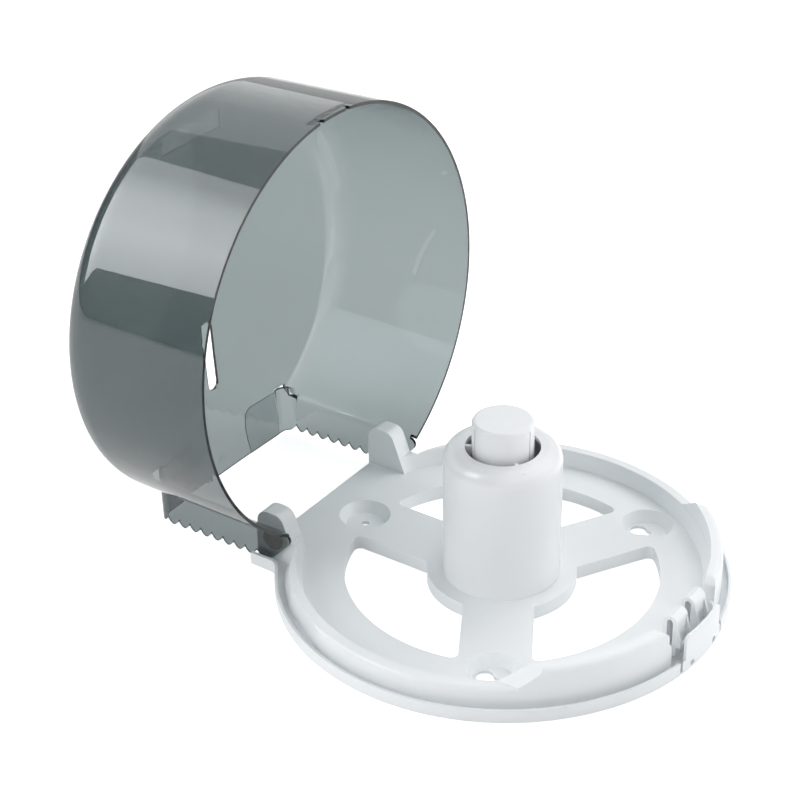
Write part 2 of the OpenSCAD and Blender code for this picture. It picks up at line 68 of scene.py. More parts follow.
# Every lamp: name, its side, distance in metres, direction of its width, size in metres, watts, and
# whether reflections show it
SOFTBOXES = (
    ("key", KEY_TOWARD, 1.8, KEY_ALONG, KEY_SIZE, 55, True),
    ("soft_key", KEY_TOWARD, 1.8, KEY_ALONG, KEY_SIZE, 41, False),
    ("latch_side", (-0.45, 0.85, 0.30), 1.7, (0.85, 0.45, 0), (1.2, 1.3), 16, False),
    ("camera_side", (0.6, 0.6, 0.75), 2.0, (0.9, -0.5, 0), (1.4, 1.0), 7.5, False),
    ("left_side", (0.92, -0.28, 0.3), 1.8, (0, 1, 0), (1.2, 1.0), 9, False),
    ("behind", (-0.58, -0.60, 0.52), 1.8, (0.6, 0, 0.7), (1.45, 2.0), 7.5, True),
    ("far_side", (-0.7, 0.1, 0.75), 1.8, (0, 1, 0), (1.2, 1.2), 14, False),
)

# The surface of moulded plastic: its cloudiness and its grain
CLOUD_SCALE = 14.0
CLOUD_DETAIL = 2
GRAIN_SCALE = 900.0
GRAIN_DETAIL = 3
GRAIN_HEIGHT = 0.02
GRAIN_STRENGTH = 0.3
PLASTIC_IOR = 1.49

# The smoke-tinted clear plastic of the cover
SMOKE_COLOUR = (0.85, 0.86, 0.86)
SMOKE_CLOUD_COLOUR = (0.83, 0.845, 0.846)
SMOKE_CLOUD_SCALE = 8.0
SMOKE_ROUGHNESS = (0.008, 0.02)
SMOKE_IOR = 1.58
SMOKE_ABSORPTION = (0.325, 0.3975, 0.4075)
SMOKE_DENSITY = 800.0

# Where the plate's arms are parted from its ring in the construction model
SPIDER_R = 90.0
SPIDER_CUT_TOLERANCE = 0.02

# The clean-up of a construction model's mesh: points that are one, and faces that are one plane
SAME_POINT = 0.01
SAME_PLANE = 0.05

# Edges sharper than this, in degrees, are eased and stay edges in the shading
EASED_ANGLE = 32
COVER_EDGE_ANGLE = 28
EASE_STEPS = 2

# The small rounds on the edges of each piece
PLATE_EASE = 0.28
CATCH_EASE = 0.3
POST_EASE = 0.3
SLEEVE_EASE = 0.4
PIN_EASE = 0.4
SCREW_EASE = 0.15

# The pins' outer ends lie on the tongues' inner faces, and are set a little into them
PIN_END_X = 64.3
PIN_INTO_TONGUE = 0.1

# The post's grooves above the sleeve
POST_GROOVE_ANGLES = (90, 210, 330)
POST_GROOVE_R = 17.2
POST_GROOVE_OUTER_R = 20
POST_GROOVE_HALF_W = 0.5
POST_GROOVE_LOW = 93
POST_GROOVE_HIGH = 108

# The hinge
HINGE_Y = 121.1
HINGE_Z = 19.0
OPEN_ANGLE = 91.35

# The cover, drawn closed with its mouth at height 0
MOUTH_R = 131.8
FRONT_R = 130.4
COVER_DEPTH = 112.0
WALL = 2.0
MOUTH_Z = 4.5
DOME_DROP = 5.0
DOME_REACH = 152
DOME_STEP = 8
CENTRE_R = 0.5

# The round between the drum's wall and its front, and how much it grows toward the latch
ROUND_AXIAL = 20.0
ROUND_RADIAL = 12.2
ROUND_AXIAL_GROWTH = 0.41
ROUND_RADIAL_GROWTH = 0.95
LEAST_AXIAL = 2
LEAST_RADIAL = 5
ROUND_STEPS = 14
FRONT_STEPS = 16
TURN_STEPS = 240

# The chute, with the place along it where its corners take their height from the front
CHUTE_HALF_W = 66.4
CHUTE_CORNER_R = 11.0
CHUTE_CORNER_STEPS = 16
CHUTE_CUT_Y = 104.0
CHUTE_CORNER_AT = 14
CHUTE_CORNER_LEAN = 0.01

# The teeth, counted from the hinge
TOOTH_TIP_Y = 136.2
TOOTH_DEPTH = 4.6
TOOTH_PITCH = 8.7
TOOTH_COUNT = 9
TOOTH_STEPS = 16
TOOTH_BLUNTNESS = 0.75
FIRST_TOOTH_H = 31.5

# The tongue's edge from the drum to the teeth, from the hinge along Y and from the mouth up
TONGUE_LOW = 0.5
TONGUE_EDGE = ((3.6, 0.5), (1.6, 1.0), (-1, 3), (-3.6, 5.6), (-12.6, 14.7), (-13.2, 22.4))

# The round end of a tongue: its middle, its radius, and how far the corner that it leaves open reaches
TONGUE_ROUND = (-117.5, 4.1)
TONGUE_ROUND_R = 3.6
TONGUE_ROUND_STEPS = 10
TONGUE_CORNER_Y = -111.5
TONGUE_INSIDE = 0.5
TONGUE_OUTSIDE = 0.2

# The rounded folds between drum and side panels, and how far their filling reaches into the walls
FOLD_R = 8.0
FOLD_LOW = 0.5
FOLD_LOW_INSIDE = -1.5
FOLD_TOP = 95.0
FOLD_STEPS = 8
INTO_CORNER = (1, 0.6)
INTO_PANEL = 0.5
INTO_DRUM = (0.5, 0.8)

# The level slot in the front
SLOT_HALF_W = 4.7
SLOT_END_Y = 77.3
SLOT_LEN = 47.3
SLOT_STEPS = 24

# The bare recess on the front
RECESS_HALF_W = 26.5
RECESS_LOW_Y = 91.5
RECESS_HIGH_Y = 103.5
RECESS_DEPTH = 0.6
RECESS_BLOCK_LOW = 90

# The thin pads on the front's inner face
PAD_ROOT = 0.5
PAD_BLOCK_LOW = 80
FRONT_BLOCK_HIGH = 120
CORNER_PAD_THICKNESS = 0.5
CORNER_PAD_PLAN = ((56, -105.2), (29.7, -104.4), (25.2, -107.4), (23.6, -117.1), (24.2, -125), (26.1, -136),
                   (54, -136), (56, -120))
EJECTOR_PLACE = (2, -127)
EJECTOR_R = 2.8
EJECTOR_CORNERS = 24
EJECTOR_THICKNESS = 0.15

# The grip's grooves and the notches in the mouth, at the latch side
GROOVES_EACH_SIDE = 9
GROOVE_PITCH = 2.0
GROOVE_HALF_W = 0.5
GROOVE_DEPTH = 0.4
GROOVE_LOW = 1.2
GROOVE_HIGH = 6.2
NOTCH_X = 12
NOTCH_HALF_W = 1.6
NOTCH_HIGH = 2.2
NOTCH_INSIDE = 6
NOTCH_OUTSIDE = 2

# Which faces of the cut edge are painted near-black as shade: the strip at the front, and how far a face may
# be turned
CUT_EDGE_INSIDE = 3
FRONT_STRIP = 15
PANEL_EDGE_TURN = 0.1
FRONT_EDGE_TURN = -0.7

# How far tools reach past what they cut, below the mouth, above the front and into the drum
PAST = 5
JUST_PAST = 1
BELOW_MOUTH = 2
ABOVE_FRONT = 4
INTO_DRUM_INSIDE = 3


# Mesh tools


def new_object(name, data):
    """An object in the scene for a mesh, a lamp or the camera."""
    obj = bpy.data.objects.new(name, data)
    bpy.context.scene.collection.objects.link(obj)
    return obj


def mesh_object(name, points, faces):
    """A mesh from points in millimetres, with its normals turned outward."""
    mesh = bpy.data.meshes.new(name)
    mesh.from_pydata([Vector(p) * MM for p in points], [], faces)
    bm = bmesh.new()
    bm.from_mesh(mesh)
    bmesh.ops.recalc_face_normals(bm, faces=bm.faces)
    bm.to_mesh(mesh)
    bm.free()
    return new_object(name, mesh)


def revolved(name, meridian):
    """A closed solid of revolution about Z. meridian(angle) gives (radius, height) from mouth to top."""
    count = len(meridian(0))
    points = []
    for i in range(TURN_STEPS):
        a = 2 * math.pi * i / TURN_STEPS
        points += [(r * math.cos(a), r * math.sin(a), h) for r, h in meridian(a)]
    first, last = meridian(0)[0], meridian(0)[-1]
    points += [(0, 0, first[1]), (0, 0, last[1])]
    bottom, top = len(points) - 2, len(points) - 1
    faces = []
    for i in range(TURN_STEPS):
        here, there = i * count, (i + 1) % TURN_STEPS * count
        faces += [(here + j, there + j, there + j + 1, here + j + 1) for j in range(count - 1)]
        faces.append((bottom, there, here))
        faces.append((top, here + count - 1, there + count - 1))
    return mesh_object(name, points, faces)


def prism(name, outline, low, high, axis):
    """An outline pushed along an axis. Its points are (Y, Z) for X, (X, Z) for Y and (X, Y) for Z."""
    place = {"X": lambda u, v, w: (w, u, v),
             "Y": lambda u, v, w: (u, w, v),
             "Z": lambda u, v, w: (u, v, w)}[axis]
    n = len(outline)
    points = [place(u, v, low) for u, v in outline] + [place(u, v, high) for u, v in outline]
    faces = [tuple(range(n)), tuple(range(2 * n - 1, n - 1, -1))]
    faces += [(i, (i + 1) % n, n + (i + 1) % n, n + i) for i in range(n)]
    return mesh_object(name, points, faces)


def block(name, low, high):
    """A block between its lowest and its highest corner."""
    outline = [(low[0], low[1]), (high[0], low[1]), (high[0], high[1]), (low[0], high[1])]
    return prism(name, outline, low[2], high[2], "Z")


def apply_modifiers(obj):
    depsgraph = bpy.context.evaluated_depsgraph_get()
    mesh = bpy.data.meshes.new_from_object(obj.evaluated_get(depsgraph))
    obj.modifiers.clear()
    obj.data = mesh


def boolean(target, tool, operation):
    """Cuts, joins or intersects target with tool, and takes tool away."""
    mod = target.modifiers.new("cut", "BOOLEAN")
    mod.operation = operation
    mod.object = tool
    mod.solver = "MANIFOLD"
    apply_modifiers(target)
    bpy.data.objects.remove(tool)
    return target


def arc(cx, cy, r, start, end, steps):
    """Points on a circle from start to end, in degrees."""
    angles = [math.radians(start + (end - start) * i / steps) for i in range(steps + 1)]
    return [(cx + r * math.cos(a), cy + r * math.sin(a)) for a in angles]


def smooth(obj, angle):
    """Smooth shading that keeps edges sharper than angle."""
    mesh = obj.data
    mesh.shade_smooth()
    bm = bmesh.new()
    bm.from_mesh(mesh)
    for edge in bm.edges:
        if len(edge.link_faces) == 2:
            edge.smooth = edge.calc_face_angle(0) < math.radians(angle)
    bm.to_mesh(mesh)
    bm.free()


def finish_piece(obj, body, material, slot, *nodes):
    """Gives a piece its material, its body and the nodes that it stands for. The slot is not used."""
    obj.data.materials.clear()
    obj.data.materials.append(material)
    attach(obj, body)
    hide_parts(*nodes)


# Materials


def node_material(name):
    material = bpy.data.materials.new(name)
    material.use_nodes = True
    return material, material.node_tree.nodes, material.node_tree.links


def combined(tree, operation, first, second):
    """The result of a calculation on two values, each a number or another node's output."""
    node = tree.nodes.new("ShaderNodeMath")
    node.operation = operation
    for socket, value in zip(node.inputs, (first, second)):
        if isinstance(value, bpy.types.NodeSocket):
            tree.links.new(value, socket)
        else:
            socket.default_value = value
    return node.outputs[0]


def moulded_surface_group():
    """Slow cloudiness and fine grain of moulded plastic: a colour, a roughness and a height."""
    group = bpy.data.node_groups.new("moulded_surface", "ShaderNodeTree")
    face = group.interface
    for label in ("Colour", "Cloud Colour"):
        face.new_socket(label, in_out="INPUT", socket_type="NodeSocketColor")
    for label in ("Cloud Scale", "Grain Scale", "Least Roughness", "Most Roughness"):
        face.new_socket(label, in_out="INPUT", socket_type="NodeSocketFloat")
    face.new_socket("Colour", in_out="OUTPUT", socket_type="NodeSocketColor")
    for label in ("Roughness", "Height"):
        face.new_socket(label, in_out="OUTPUT", socket_type="NodeSocketFloat")
    nodes, links = group.nodes, group.links
    given, result = nodes.new("NodeGroupInput"), nodes.new("NodeGroupOutput")
    where = nodes.new("ShaderNodeTexCoord")
    cloud, grain = nodes.new("ShaderNodeTexNoise"), nodes.new("ShaderNodeTexNoise")
    cloud.inputs["Detail"].default_value = CLOUD_DETAIL
    grain.inputs["Detail"].default_value = GRAIN_DETAIL
    mix, rough = nodes.new("ShaderNodeMix"), nodes.new("ShaderNodeMapRange")
    mix.data_type = "RGBA"
    links.new(where.outputs["Object"], cloud.inputs["Vector"])
    links.new(where.outputs["Object"], grain.inputs["Vector"])
    links.new(given.outputs["Cloud Scale"], cloud.inputs["Scale"])
    links.new(given.outputs["Grain Scale"], grain.inputs["Scale"])
    links.new(cloud.outputs["Fac"], mix.inputs["Factor"])
    links.new(given.outputs["Colour"], mix.inputs["A"])
    links.new(given.outputs["Cloud Colour"], mix.inputs["B"])
    links.new(cloud.outputs["Fac"], rough.inputs["Value"])
    links.new(given.outputs["Least Roughness"], rough.inputs["To Min"])
    links.new(given.outputs["Most Roughness"], rough.inputs["To Max"])
    links.new(mix.outputs["Result"], result.inputs["Colour"])
    links.new(rough.outputs["Result"], result.inputs["Roughness"])
    links.new(grain.outputs["Fac"], result.inputs["Height"])
    return group


def moulded_surface(material, surface, colour, cloud_colour, cloud_scale, roughness):
    """Places the moulded surface in a material with the values of that plastic."""
    nodes, links = material.node_tree.nodes, material.node_tree.links
    shader = nodes["Principled BSDF"]
    body = nodes.new("ShaderNodeGroup")
    body.node_tree = surface
    body.inputs["Colour"].default_value = (*colour, 1)
    body.inputs["Cloud Colour"].default_value = (*cloud_colour, 1)
    body.inputs["Cloud Scale"].default_value = cloud_scale
    body.inputs["Grain Scale"].default_value = GRAIN_SCALE
    body.inputs["Least Roughness"].default_value = roughness[0]
    body.inputs["Most Roughness"].default_value = roughness[1]
    links.new(body.outputs["Colour"], shader.inputs["Base Color"])
    links.new(body.outputs["Roughness"], shader.inputs["Roughness"])
    return body


def plastic(name, surface, colour, cloud_colour, roughness):
    """An opaque moulded plastic."""
    material, nodes, links = node_material(name)
    shader = nodes["Principled BSDF"]
    shader.inputs["IOR"].default_value = PLASTIC_IOR
    body = moulded_surface(material, surface, colour, cloud_colour, CLOUD_SCALE, roughness)
    bump = nodes.new("ShaderNodeBump")
    bump.inputs["Strength"].default_value = GRAIN_STRENGTH
    bump.inputs["Distance"].default_value = GRAIN_HEIGHT * MM
    links.new(body.outputs["Height"], bump.inputs["Height"])
    links.new(bump.outputs["Normal"], shader.inputs["Normal"])
    return material


def smoke_clear(name, surface):
    """Clear plastic with a smoke tint, darker where light runs along the wall."""
    material, nodes, links = node_material(name)
    shader = nodes["Principled BSDF"]
    shader.inputs["Transmission Weight"].default_value = 1.0
    shader.inputs["IOR"].default_value = SMOKE_IOR
    moulded_surface(material, surface, SMOKE_COLOUR, SMOKE_CLOUD_COLOUR, SMOKE_CLOUD_SCALE, SMOKE_ROUGHNESS)
    absorb = nodes.new("ShaderNodeVolumeAbsorption")
    absorb.inputs["Color"].default_value = (*SMOKE_ABSORPTION, 1)
    absorb.inputs["Density"].default_value = SMOKE_DENSITY
    links.new(absorb.outputs["Volume"], nodes["Material Output"].inputs["Volume"])
    return material


def floor_material(name):
    """Matt to the light, with a glow of its own to the eye, in reflections and through the cover."""
    material, nodes, links = node_material(name)
    tree = material.node_tree
    shader = nodes["Principled BSDF"]
    shader.inputs["Base Color"].default_value = (*FLOOR_COLOUR, 1)
    shader.inputs["Roughness"].default_value = FLOOR_ROUGHNESS
    shader.inputs["Emission Color"].default_value = (1, 1, 1, 1)
    path = nodes.new("ShaderNodeLightPath")
    seen = combined(tree, "MULTIPLY", path.outputs["Is Camera Ray"], FLOOR_SEEN)
    through = combined(tree, "MULTIPLY", path.outputs["Is Transmission Ray"], FLOOR_THROUGH_COVER)
    reflected = combined(tree, "MULTIPLY", path.outputs["Is Glossy Ray"], FLOOR_IN_REFLECTIONS)
    glow = combined(tree, "MAXIMUM", combined(tree, "MAXIMUM", seen, through), reflected)
    links.new(glow, shader.inputs["Emission Strength"])
    return material


# The cover


def dome_h(r):
    """The height of the cover's front at a distance from its middle."""
    return COVER_DEPTH - DOME_DROP * (r / FRONT_R) ** 2


def mouth_h(inset):
    """The lowest height of the cover's outside, and of its inside, which reaches out of the mouth."""
    return -JUST_PAST if inset else 0


def drum_meridian(inset):
    """The drum's wall, rounded edge and front as one line; the edge is larger on the latch side."""
    def line(a):
        radial = max(ROUND_RADIAL * (1 + ROUND_RADIAL_GROWTH * math.sin(a)), LEAST_RADIAL) - inset
        axial = max(ROUND_AXIAL * (1 + ROUND_AXIAL_GROWTH * math.sin(a)) - inset, LEAST_AXIAL)
        centre_r = FRONT_R - inset - radial
        centre_h = dome_h(centre_r) - inset - axial
        points = [(MOUTH_R - inset, mouth_h(inset))]
        for k in range(ROUND_STEPS + 1):
            b = math.pi / 2 * k / ROUND_STEPS
            points.append((centre_r + radial * math.cos(b), centre_h + axial * math.sin(b)))
        for k in range(1, FRONT_STEPS):
            r = centre_r * (1 - k / FRONT_STEPS)
            points.append((r, dome_h(r) - inset))
        points.append((CENTRE_R, dome_h(0) - inset))
        return points
    return line


def dome_block(name, inset):
    """A wide block under the front's face, as far in from it as inset."""
    line = [(DOME_REACH, mouth_h(inset))]
    line += [(r, dome_h(r) - inset) for r in range(DOME_REACH, 0, -DOME_STEP)]
    line.append((CENTRE_R, dome_h(0) - inset))
    return revolved(name, lambda a: line)


def chute_section(half_w, corner_r, inset):
    """The chute seen from its open end: two panels rounded into the front."""
    edge_h = dome_h(math.hypot(CHUTE_HALF_W, CHUTE_CUT_Y + CHUTE_CORNER_AT)) - inset
    corner = arc(half_w - corner_r, edge_h - corner_r, corner_r, 0, 90, CHUTE_CORNER_STEPS)
    right = [(half_w, -BELOW_MOUTH)] + corner
    right.append((half_w - corner_r - CHUTE_CORNER_LEAN, COVER_DEPTH + ABOVE_FRONT))
    return right + [(-x, h) for x, h in reversed(right)]


def chute_side():
    """The chute seen from the side: tongue at the hinge, then the row of teeth, then the front's edge."""
    valley = TOOTH_TIP_Y - TOOTH_DEPTH
    outline = [(-CHUTE_CUT_Y, TONGUE_LOW)] + [(-HINGE_Y + y, h) for y, h in TONGUE_EDGE]
    outline.append((-valley, FIRST_TOOTH_H - TOOTH_PITCH / 2))
    for k in range(1, TOOTH_COUNT * TOOTH_STEPS - TOOTH_STEPS // 2 + 1):
        swing = abs(math.sin(math.pi * k / TOOTH_STEPS)) ** TOOTH_BLUNTNESS
        outline.append((-valley - TOOTH_DEPTH * swing, FIRST_TOOTH_H + (k / TOOTH_STEPS - 0.5) * TOOTH_PITCH))
    outline += [(-TOOTH_TIP_Y, COVER_DEPTH + JUST_PAST), (-CHUTE_CUT_Y, COVER_DEPTH + JUST_PAST)]
    return outline


def chute_gap(half_w):
    """The stretch of the drum that the chute takes the place of."""
    return block("gap", (-half_w, -MOUTH_R - PAST, -BELOW_MOUTH), (half_w, -CHUTE_CUT_Y, COVER_DEPTH + PAST))


def fold_round(side, half_w, drum_r, radius, low):
    """The stretch between a rounded fold and its sharp corner, where a side panel meets the drum's wall."""
    corner = Vector((half_w, -math.sqrt(drum_r ** 2 - half_w ** 2)))
    away = Vector((-corner.y, corner.x)).normalized()
    middle = (away + Vector((0, -1))).normalized()
    half_turn = math.acos(middle.dot(away))
    centre = corner + middle * radius / math.sin(half_turn)
    reach = radius / math.tan(half_turn)
    first, last = corner + Vector((0, -reach)), corner + away * reach
    start = math.degrees(math.atan2(first.y - centre.y, first.x - centre.x))
    end = math.degrees(math.atan2(last.y - centre.y, last.x - centre.x))
    if start < end:
        start += 360
    points = [(half_w - INTO_CORNER[0], corner.y + INTO_CORNER[1]), (half_w - INTO_PANEL, first.y)]
    points += arc(centre.x, centre.y, radius, start, end, FOLD_STEPS)
    points.append((last.x - INTO_DRUM[0], last.y + INTO_DRUM[1]))
    return prism("fold_round", [(side * px, py) for px, py in points], low, FOLD_TOP, "Z")


def cover_outside():
    """The closed cover as a full block, without its fittings."""
    shell = revolved("cover_shell", drum_meridian(0))
    boolean(shell, chute_gap(CHUTE_HALF_W), "DIFFERENCE")
    section = chute_section(CHUTE_HALF_W, CHUTE_CORNER_R, 0)
    chute = prism("chute", section, -TOOTH_TIP_Y - JUST_PAST, -CHUTE_CUT_Y, "Y")
    side_view = prism("side", chute_side(), -CHUTE_HALF_W - JUST_PAST, CHUTE_HALF_W + JUST_PAST, "X")
    boolean(chute, side_view, "INTERSECT")
    boolean(chute, dome_block("dome", 0), "INTERSECT")
    boolean(shell, chute, "UNION")
    for side in SIDES:
        boolean(shell, fold_round(side, CHUTE_HALF_W, FRONT_R, FOLD_R - WALL, FOLD_LOW), "UNION")
    return shell


def cover_inside():
    """The space inside the closed cover."""
    half_w = CHUTE_HALF_W - WALL
    inside = revolved("inside", drum_meridian(WALL))
    boolean(inside, chute_gap(half_w), "DIFFERENCE")
    section = chute_section(half_w, CHUTE_CORNER_R - WALL, WALL)
    chute = prism("chute_in", section, -TOOTH_TIP_Y - PAST, -CHUTE_CUT_Y + INTO_DRUM_INSIDE, "Y")
    boolean(chute, dome_block("dome_in", WALL), "INTERSECT")
    boolean(inside, chute, "UNION")
    for side in SIDES:
        boolean(inside, fold_round(side, half_w, FRONT_R - WALL, FOLD_R, FOLD_LOW_INSIDE), "UNION")
    return inside


def level_slot():
    """The open slot in the front that shows how much paper is left."""
    top = -SLOT_END_Y + SLOT_HALF_W
    end = -SLOT_END_Y + SLOT_LEN - SLOT_HALF_W
    outline = arc(0, top, SLOT_HALF_W, 180, 360, SLOT_STEPS) + arc(0, end, SLOT_HALF_W, 0, 180, SLOT_STEPS)
    return prism("slot", outline, COVER_DEPTH / 2, COVER_DEPTH + PAST, "Z")


def label_recess():
    """A shallow bare recess on the front, near the latch."""
    outline = [(-RECESS_HALF_W, RECESS_LOW_Y), (RECESS_HALF_W, RECESS_LOW_Y),
               (RECESS_HALF_W, RECESS_HIGH_Y), (-RECESS_HALF_W, RECESS_HIGH_Y)]
    recess = prism("recess", outline, RECESS_BLOCK_LOW, FRONT_BLOCK_HIGH, "Z")
    return boolean(recess, dome_block("recess_floor", RECESS_DEPTH), "DIFFERENCE")


def on_inner_front(name, outline, thickness):
    """A thin pad with this plan on the front's inner face."""
    pad = prism(name, outline, PAD_BLOCK_LOW, FRONT_BLOCK_HIGH, "Z")
    boolean(pad, dome_block("pad_face", WALL - PAD_ROOT), "INTERSECT")
    return boolean(pad, dome_block("pad_back", WALL + thickness), "DIFFERENCE")


def corner_pad(side):
    """The thicker corner of the front, beside a side panel."""
    plan = [(side * x, y) for x, y in CORNER_PAD_PLAN]
    return on_inner_front("corner_pad", plan, CORNER_PAD_THICKNESS)


def ejector_mark():
    """The round mark that the mould's ejector leaves inside the front."""
    last_corner = 360 - 360 / EJECTOR_CORNERS
    outline = arc(*EJECTOR_PLACE, EJECTOR_R, 0, last_corner, EJECTOR_CORNERS - 1)
    return on_inner_front("ejector_mark", outline, EJECTOR_THICKNESS)


def grip_groove(x):
    """What one groove of the grip leaves open on the wall at the latch side."""
    y = math.sqrt(MOUTH_R ** 2 - x * x)
    return block("groove", (x - GROOVE_HALF_W, y - GROOVE_DEPTH, GROOVE_LOW),
                 (x + GROOVE_HALF_W, y + JUST_PAST, GROOVE_HIGH))


def mouth_notch(x):
    """What a notch leaves open in the mouth at the latch side."""
    return block("notch", (x - NOTCH_HALF_W, MOUTH_R - NOTCH_INSIDE, -JUST_PAST),
                 (x + NOTCH_HALF_W, MOUTH_R + NOTCH_OUTSIDE, NOTCH_HIGH))


def tongue_corner(side):
    """What the round end of a tongue leaves open beside the drum's mouth."""
    centre_y, centre_h = TONGUE_ROUND
    outline = [(TONGUE_CORNER_Y, -JUST_PAST), (TONGUE_CORNER_Y, centre_h)]
    outline += arc(centre_y, centre_h, TONGUE_ROUND_R, 0, -90, TONGUE_ROUND_STEPS) + [(centre_y, -JUST_PAST)]
    ends = sorted((side * (CHUTE_HALF_W - WALL - TONGUE_INSIDE), side * (CHUTE_HALF_W + TONGUE_OUTSIDE)))
    return prism("tongue_corner", outline, *ends, "X")


def on_shaded_cut_edge(face):
    """Whether a face of the closed cover is part of the cut edge along the teeth or the front, which is
    painted dark as shade.
    """
    x, y, h = (part / MM for part in face.center)
    if y > CUT_EDGE_INSIDE - TOOTH_TIP_Y + TOOTH_DEPTH:
        return False
    front_h = COVER_DEPTH - FRONT_STRIP
    if abs(x) > CHUTE_HALF_W - WALL and FIRST_TOOTH_H - TOOTH_PITCH < h < front_h:
        return abs(face.normal.x) < PANEL_EDGE_TURN
    return h > front_h and face.normal.y < FRONT_EDGE_TURN


def open_swing():
    """From the closed cover's own place to where it stands open."""
    lift = Matrix.Translation(Vector((0, HINGE_Y, MOUTH_Z - HINGE_Z)) * MM)
    turn = Matrix.Rotation(math.radians(OPEN_ANGLE), 4, "X")
    return Matrix.Translation(Vector((0, -HINGE_Y, HINGE_Z)) * MM) @ turn @ lift


def build_cover(material, edge_shade_material):
    """The open cover. Its cut edges are in a near-black material of their own, painted shade for the dark
    look of light running along the wall.
    """
    cover = cover_outside()
    boolean(cover, cover_inside(), "DIFFERENCE")
    boolean(cover, level_slot(), "DIFFERENCE")
    boolean(cover, label_recess(), "DIFFERENCE")
    for side in SIDES:
        boolean(cover, corner_pad(side), "UNION")
    boolean(cover, ejector_mark(), "UNION")
    for k in range(-GROOVES_EACH_SIDE, GROOVES_EACH_SIDE + 1):
        boolean(cover, grip_groove(GROOVE_PITCH * k), "DIFFERENCE")
    for side in SIDES:
        boolean(cover, mouth_notch(side * NOTCH_X), "DIFFERENCE")
    for side in SIDES:
        boolean(cover, tongue_corner(side), "DIFFERENCE")
    # The cut edges get the near-black material as painted shade
    shaded_cut_edges = [face.index for face in cover.data.polygons if on_shaded_cut_edge(face)]
    cover.data.transform(open_swing())
    smooth(cover, COVER_EDGE_ANGLE)
    finish_piece(cover, "cover", material, "clear_smoke_plastic", "cover")
    cover.data.materials.append(edge_shade_material)
    for index in shaded_cut_edges:
        cover.data.polygons[index].material_index = 1


# Pieces that keep the shape of their CAD node, with their edges eased


def on_spider_cut(vert):
    """Whether a point of the plate is where its arms are parted from its ring."""
    return abs(math.hypot(vert.co.x, vert.co.y) - SPIDER_R * MM) < SPIDER_CUT_TOLERANCE * MM


def eased_copy(frame, nodes, name, width):
    """A copy of the nodes' meshes as one, with clean faces and small rounds on its edges."""
    obj = new_object(name, bpy.data.meshes.new(name))
    bm = bmesh.new()
    for node in nodes:
        bm.from_mesh(frame["nodes"][node].data)
    if len(nodes) > 1:
        parted = [face for face in bm.faces if all(on_spider_cut(vert) for vert in face.verts)]
        bmesh.ops.delete(bm, geom=parted, context="FACES")
    bmesh.ops.remove_doubles(bm, verts=bm.verts, dist=SAME_POINT * MM)
    bmesh.ops.dissolve_degenerate(bm, edges=bm.edges, dist=SAME_POINT * MM)
    bmesh.ops.dissolve_limit(bm, angle_limit=math.radians(SAME_PLANE), verts=bm.verts, edges=bm.edges)
    bm.to_mesh(obj.data)
    bm.free()
    ease = obj.modifiers.new("ease", "BEVEL")
    ease.width = width * MM
    ease.segments = EASE_STEPS
    ease.limit_method = "ANGLE"
    ease.angle_limit = math.radians(EASED_ANGLE)
    ease.use_clamp_overlap = True
    apply_modifiers(obj)
    smooth(obj, EASED_ANGLE)
    even = obj.modifiers.new("even", "WEIGHTED_NORMAL")
    even.keep_sharp = True
    apply_modifiers(obj)
    return obj


def post_groove(angle):
    """What one of the post's grooves leaves open above the sleeve."""
    turn = Matrix.Rotation(math.radians(angle), 2)
    corners = ((POST_GROOVE_R, -POST_GROOVE_HALF_W), (POST_GROOVE_OUTER_R, -POST_GROOVE_HALF_W),
               (POST_GROOVE_OUTER_R, POST_GROOVE_HALF_W), (POST_GROOVE_R, POST_GROOVE_HALF_W))
    outline = [tuple(turn @ Vector(corner)) for corner in corners]
    return prism("post_groove", outline, POST_GROOVE_LOW, POST_GROOVE_HIGH, "Z")


def set_into_tongues(pins):
    """Moves the pins' outer ends a little into the cover's tongues, out of the plane of their faces."""
    for vert in pins.data.vertices:
        if abs(vert.co.x) > PIN_END_X * MM:
            vert.co.x += math.copysign(PIN_INTO_TONGUE * MM, vert.co.x)


# The stage


def build_camera():
    data = bpy.data.cameras.new("camera")
    data.lens = CAMERA_LENS
    data.sensor_width = CAMERA_SENSOR
    data.clip_start = CAMERA_NEAR_LIMIT * MM
    camera = new_object("camera", data)
    aim = Matrix.Rotation(math.radians(CAMERA_AZIMUTH), 4, "Z")
    aim = aim @ Matrix.Rotation(math.radians(90 - CAMERA_ELEVATION), 4, "X")
    aim = aim @ Matrix.Rotation(math.radians(CAMERA_ROLL), 4, "Z")
    camera.matrix_world = Matrix.Translation(Vector(CAMERA_PLACE) * MM) @ aim
    bpy.context.scene.camera = camera


def softbox(name, toward, distance, along, size, watts, mirrored):
    """A lamp that lies toward a direction from the object's middle, its width along a second direction."""
    back = Vector(toward).normalized()
    width = (Vector(along) - back * Vector(along).dot(back)).normalized()
    data = bpy.data.lights.new(name, "AREA")
    data.shape = "RECTANGLE"
    data.size, data.size_y = size
    data.energy = watts
    lamp = new_object(name, data)
    turn = Matrix((width, back.cross(width), back)).transposed().to_4x4()
    lamp.matrix_world = Matrix.Translation(Vector(OBJECT_MIDDLE) * MM + back * distance) @ turn
    lamp.visible_glossy = mirrored
    return lamp


def uneven(data, stops):
    """Makes a softbox brighter in some strips across its width than in others."""
    data.use_nodes = True
    nodes, links = data.node_tree.nodes, data.node_tree.links
    where, parts = nodes.new("ShaderNodeNewGeometry"), nodes.new("ShaderNodeSeparateXYZ")
    ramp = nodes.new("ShaderNodeValToRGB")
    for place, _ in stops[1:-1]:
        ramp.color_ramp.elements.new(place)
    for element, (place, level) in zip(ramp.color_ramp.elements, stops):
        element.position = place
        element.color = (level, level, level, 1)
    links.new(where.outputs["Parametric"], parts.inputs["Vector"])
    links.new(parts.outputs["X"], ramp.inputs["Fac"])
    links.new(ramp.outputs["Color"], nodes["Emission"].inputs["Strength"])


